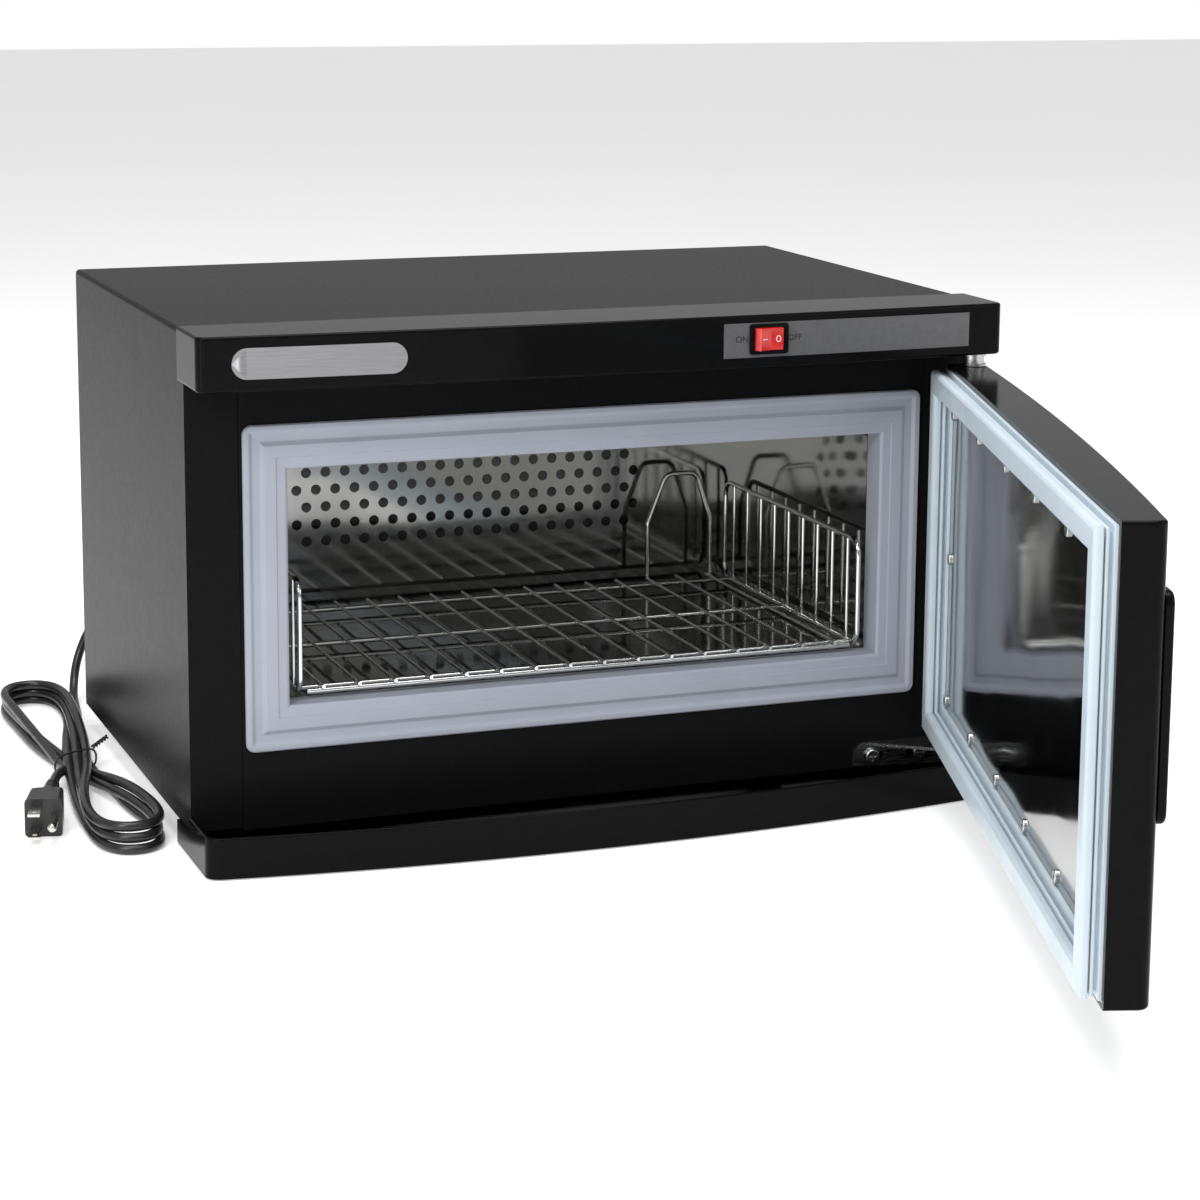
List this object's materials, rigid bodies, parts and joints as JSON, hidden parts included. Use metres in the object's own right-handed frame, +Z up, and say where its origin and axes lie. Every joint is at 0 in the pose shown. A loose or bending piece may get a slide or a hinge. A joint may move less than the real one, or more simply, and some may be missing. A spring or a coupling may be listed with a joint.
{
  "type": "hot towel cabinet",
  "caption": "Countertop hot towel cabinet with a side-hinged insulated door, wire towel rack in a polished cavity, rocker switch, drip tray and mains cord.",
  "frame": {"origin": "on the counter, under the middle of the sheet-metal body", "axes": "+Z up; +X to the right as seen from the front; the front faces -Y, so the door opens towards -Y"},
  "size_m": [0.5283, 0.7941, 0.2814],
  "materials": {
    "satin_black_steel": "satin",
    "gloss_black_plastic": "gloss",
    "cool_grey_plastic": "satin",
    "dark_grey_label": "satin",
    "silver_label": "satin",
    "mirror_stainless": "polished",
    "galvanised_steel": "matte",
    "chrome_wire": "polished",
    "zinc_screw": "satin",
    "black_screw": "satin",
    "hinge_steel": "satin",
    "black_rubber": "matte",
    "pale_seal": "satin",
    "magnet_strip": "matte",
    "mineral_wool": "matte",
    "heater_sheath": "matte",
    "white_nylon": "satin",
    "lead_sleeve": "satin",
    "foam": "matte",
    "red_rocker": "gloss",
    "cord_pvc": "satin",
    "nickel_prong": "polished"
  },
  "bodies": {
    "cabinet": {"outer_shell": "satin_black_steel", "front_panel": "satin_black_steel", "back_panel": "satin_black_steel", "bottom_panel": "galvanised_steel", "breaker_frame": "cool_grey_plastic", "cavity_liner": "mirror_stainless", "heater_box": "galvanised_steel", "heating_element": "heater_sheath", "cavity_insulation": "mineral_wool", "thermostat": "hinge_steel", "thermal_fuse": "white_nylon", "terminal_block": "white_nylon", "wiring": "lead_sleeve", "back_panel_screws": "black_screw", "rubber_feet": "black_rubber", "foot_screws": "zinc_screw", "tray_guides": "gloss_black_plastic", "canopy": "gloss_black_plastic", "control_strip": "dark_grey_label", "badge_plate": "silver_label", "switch_housing": "gloss_black_plastic", "upper_hinge_plate": "hinge_steel", "upper_hinge_pin": "hinge_steel", "upper_pin_washers": "zinc_screw", "upper_pin_spacer": "zinc_screw", "lower_hinge_bracket": "hinge_steel", "lower_hinge_pin": "hinge_steel", "lower_pin_washer": "white_nylon", "lower_hinge_screws": "zinc_screw", "cord_gland": "black_rubber", "power_cord": "cord_pvc", "power_cord_tail": "cord_pvc", "cord_hank": "cord_pvc", "cord_tie": "black_rubber", "plug_body": "cord_pvc", "plug_prongs": "nickel_prong"},
    "door": {"door_shell": "gloss_black_plastic", "door_handle": "gloss_black_plastic", "handle_screws": "zinc_screw", "door_insulation": "foam", "door_inner_panel": "mirror_stainless", "panel_screws": "zinc_screw", "door_gasket": "pale_seal", "gasket_magnets": "magnet_strip", "door_top_bushing": "white_nylon", "door_bottom_bushing": "white_nylon"},
    "rack": {"rack_floor_wires": "chrome_wire", "rack_left_side": "chrome_wire", "rack_right_side": "chrome_wire", "rack_rear_handle": "chrome_wire"},
    "tray": {"drip_tray": "gloss_black_plastic"},
    "rocker": {"rocker_switch": "red_rocker"}
  },
  "joints": [
    {"name": "door_hinge", "type": "hinge", "parent": "cabinet", "child": "door", "pos_m": [0.215, -0.166, 0.14], "axis": [0, 0, 1], "range_deg": [-72.1, 37.9]},
    {"name": "rocker_tilt", "type": "hinge", "parent": "cabinet", "child": "rocker", "pos_m": [0.083, -0.17936, 0.2684], "axis": [0, 0, 1], "range_deg": [-20, 0]},
    {"name": "rack_slide", "type": "slide", "parent": "cabinet", "child": "rack", "axis": [0, -1, 0], "range_m": [-0.012, 0.015]},
    {"name": "tray_slide", "type": "slide", "parent": "cabinet", "child": "tray", "axis": [0, -1, 0], "range_m": [0, 0.06]}
  ]
}
